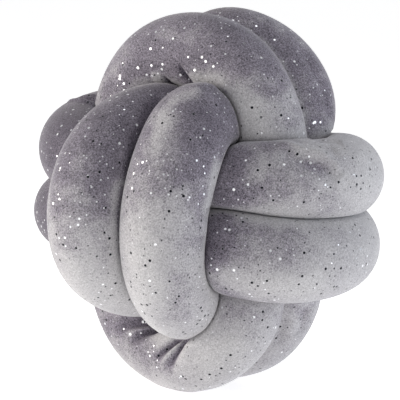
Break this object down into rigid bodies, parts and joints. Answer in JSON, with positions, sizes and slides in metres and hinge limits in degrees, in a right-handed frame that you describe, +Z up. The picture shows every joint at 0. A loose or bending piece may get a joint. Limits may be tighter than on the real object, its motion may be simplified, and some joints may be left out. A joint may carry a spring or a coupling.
{
  "type": "knot cushion",
  "caption": "Round velvet cushion tied from one plump stuffed tube into a monkey's fist knot ball, with both ends tucked inside.",
  "frame": {"origin": "middle of the base, on the surface the cushion rests on", "axes": "+Z up, -Y front, where the pair of upright strands is, +X right, where the pair of level strands is"},
  "size_m": [0.3, 0.3026, 0.3041],
  "materials": {
    "velvet": "pale grey short-pile velvet with shaded nap and scattered small round foil dots"
  },
  "bodies": {
    "root": {"knot_tube": "velvet"}
  },
  "joints": []
}
